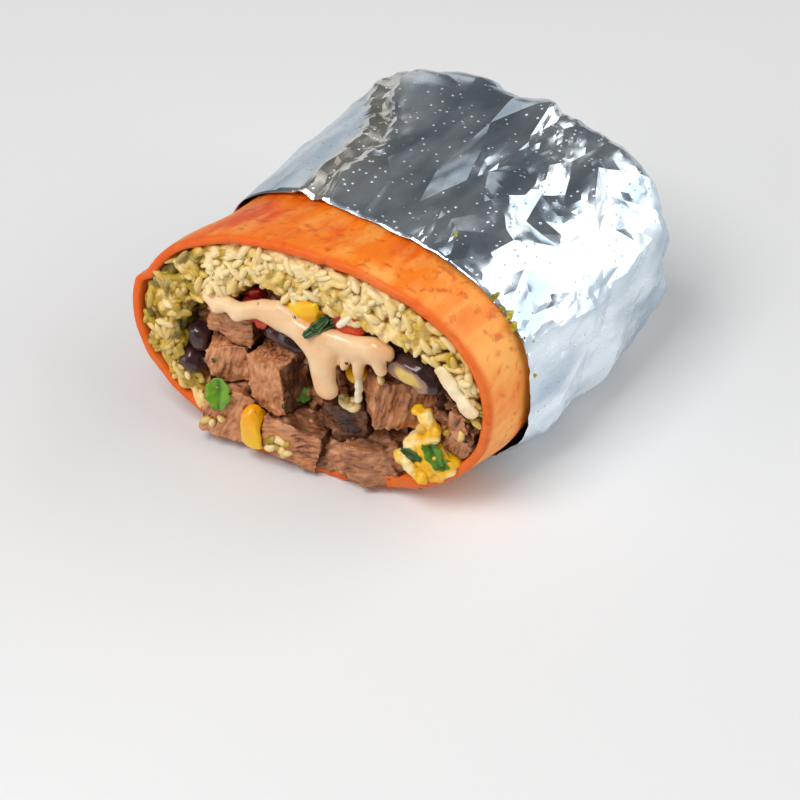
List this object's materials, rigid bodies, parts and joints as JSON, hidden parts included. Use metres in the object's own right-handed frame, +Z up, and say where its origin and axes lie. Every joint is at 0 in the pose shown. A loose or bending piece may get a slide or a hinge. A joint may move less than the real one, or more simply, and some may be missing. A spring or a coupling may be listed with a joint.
{
  "type": "burrito half in foil",
  "caption": "Half of a cut burrito, wrapped in crumpled foil and lying on its side, with its filled cut face showing.",
  "frame": {"origin": "bottom centre of the whole half's box, on the surface it lies on", "axes": "+Z up; +Y from the cut face along the roll to the closed, foil-wrapped end; +X to the right of someone who faces the cut"},
  "size_m": [0.085, 0.0894, 0.056],
  "materials": {
    "foil": "thin bright aluminium foil, crumpled into sharp facets",
    "tortilla": "soft orange wheat tortilla, lightly toasted, with paler and redder patches",
    "rice": "cooked white rice stained yellow-green with herbs, moist",
    "filling": "moist dark shreds of beef and beans in their juice",
    "beef": "braised beef cubes, fibrous, browned at their edges, moist",
    "black_bean": "cooked black beans with a thin glossy skin",
    "corn": "plump yellow corn kernels, glossy",
    "tomato": "diced red tomato and pepper, wet",
    "cheese": "a strip of firm pale cheese",
    "melted_cheese": "soft yellow melted cheese with white curds",
    "sauce": "smooth creamy peach-coloured sauce, glossy"
  },
  "bodies": {
    "root": {"bean_centre": "black_bean", "bean_left_high": "black_bean", "bean_left_low": "black_bean", "bean_open": "black_bean", "bean_top": "black_bean", "beef_a": "beef", "beef_b": "beef", "beef_c": "beef", "beef_d": "beef", "beef_e": "beef", "beef_f": "beef", "beef_g": "beef", "beef_h": "beef", "beef_i": "beef", "cheese_strip": "cheese", "corn_low": "corn", "corn_mid": "corn", "corn_top": "corn", "filling": "filling", "foil": "foil", "melted_cheese": "melted_cheese", "pepper_top": "tomato", "rice": "rice", "sauce": "sauce", "tomato_centre": "tomato", "tomato_left": "tomato", "tomato_right": "tomato", "tortilla": "tortilla"}
  },
  "joints": []
}
